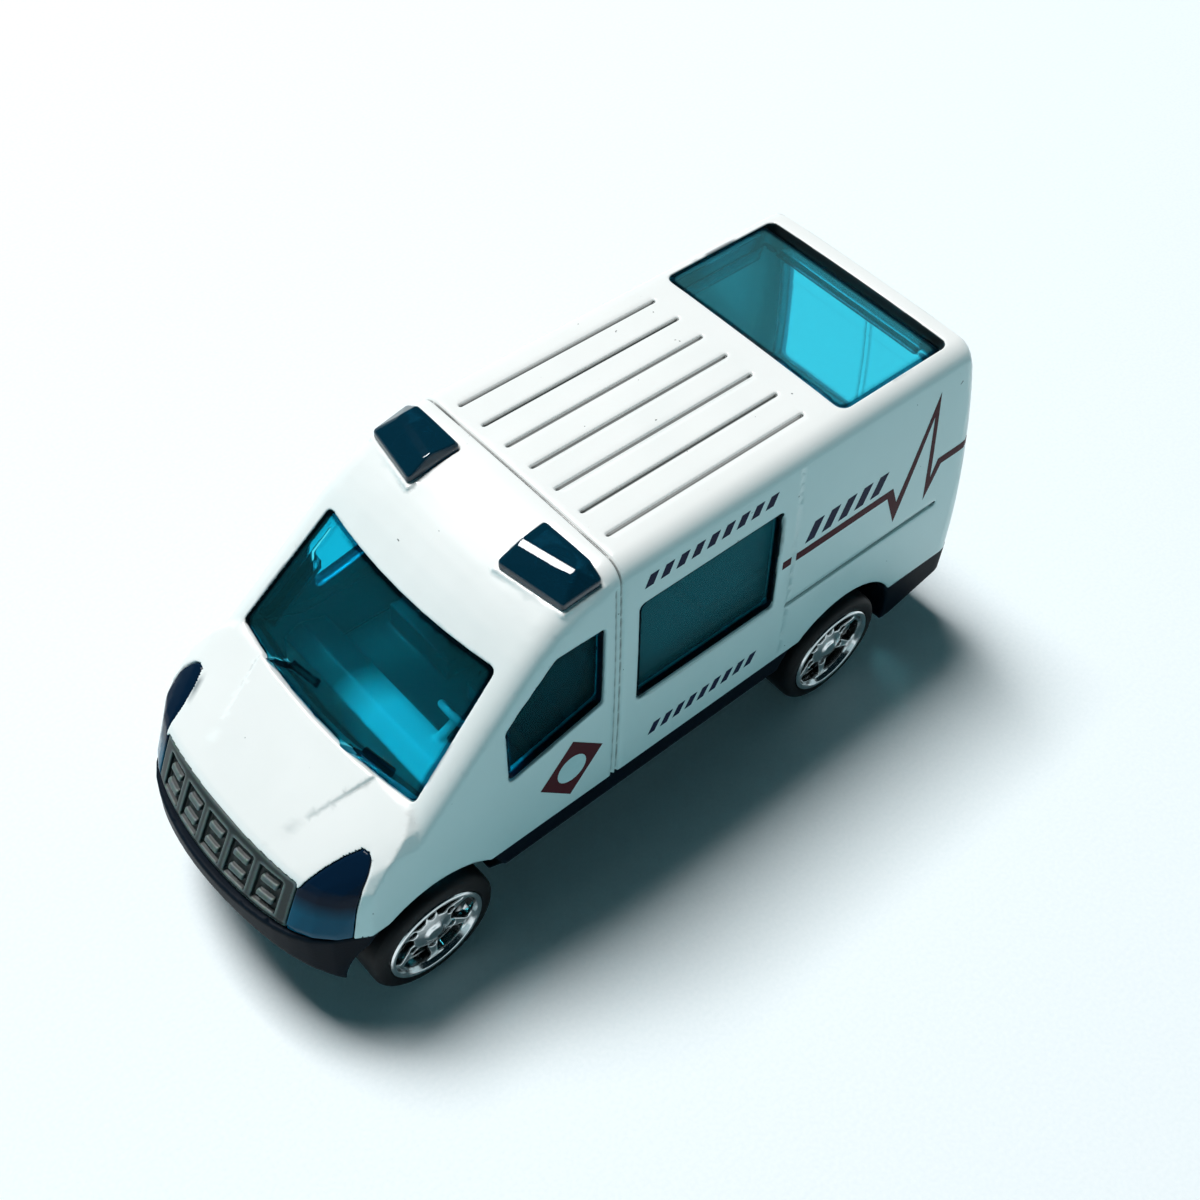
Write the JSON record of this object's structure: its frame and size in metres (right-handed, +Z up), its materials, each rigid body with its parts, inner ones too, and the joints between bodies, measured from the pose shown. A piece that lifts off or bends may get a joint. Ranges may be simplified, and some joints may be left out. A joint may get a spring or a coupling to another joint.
{
  "type": "toy ambulance van",
  "caption": "White die-cast toy ambulance van with tinted glazing, roof beacons, a black base and free-rolling spoked wheels",
  "frame": {"origin": "on the ground under the middle of the van, halfway between the bumpers", "axes": "+X to the front, +Y to the van's left side, +Z up"},
  "size_m": [0.0728, 0.0266, 0.0354],
  "materials": {
    "body_paint": "gloss enamel on zinc casting",
    "base_plastic": "satin moulded",
    "grille_plastic": "satin moulded",
    "tinted_glazing": "clear tinted styrene",
    "blue_lens": "deep tinted moulding",
    "lamp_lens": "deep tinted moulding",
    "interior_plastic": "satin moulded",
    "screw_steel": "zinc plated",
    "axle_steel": "drawn wire",
    "hub_plating": "bright plating on plastic",
    "tyre_plastic": "matt moulded"
  },
  "bodies": {
    "van_body": {"body_shell": "body_paint", "base_plate": "base_plastic", "grille": "grille_plastic", "cab_glazing": "tinted_glazing", "rear_glazing": "tinted_glazing", "beacon_left": "blue_lens", "beacon_right": "blue_lens", "headlamp_left": "lamp_lens", "headlamp_right": "lamp_lens", "interior_tray": "interior_plastic", "base_screws": "screw_steel"},
    "front_wheelset": {"front_axle": "axle_steel", "front_left_hub": "hub_plating", "front_right_hub": "hub_plating", "front_left_tyre": "tyre_plastic", "front_right_tyre": "tyre_plastic"},
    "rear_wheelset": {"rear_axle": "axle_steel", "rear_left_hub": "hub_plating", "rear_right_hub": "hub_plating", "rear_left_tyre": "tyre_plastic", "rear_right_tyre": "tyre_plastic"}
  },
  "joints": [
    {"name": "front_wheels_roll", "type": "hinge", "parent": "van_body", "child": "front_wheelset", "pos_m": [0.02435, 0, 0.0058], "axis": [0, 1, 0], "continuous": true},
    {"name": "rear_wheels_roll", "type": "hinge", "parent": "van_body", "child": "rear_wheelset", "pos_m": [-0.02075, 0, 0.0058], "axis": [0, 1, 0], "continuous": true}
  ]
}
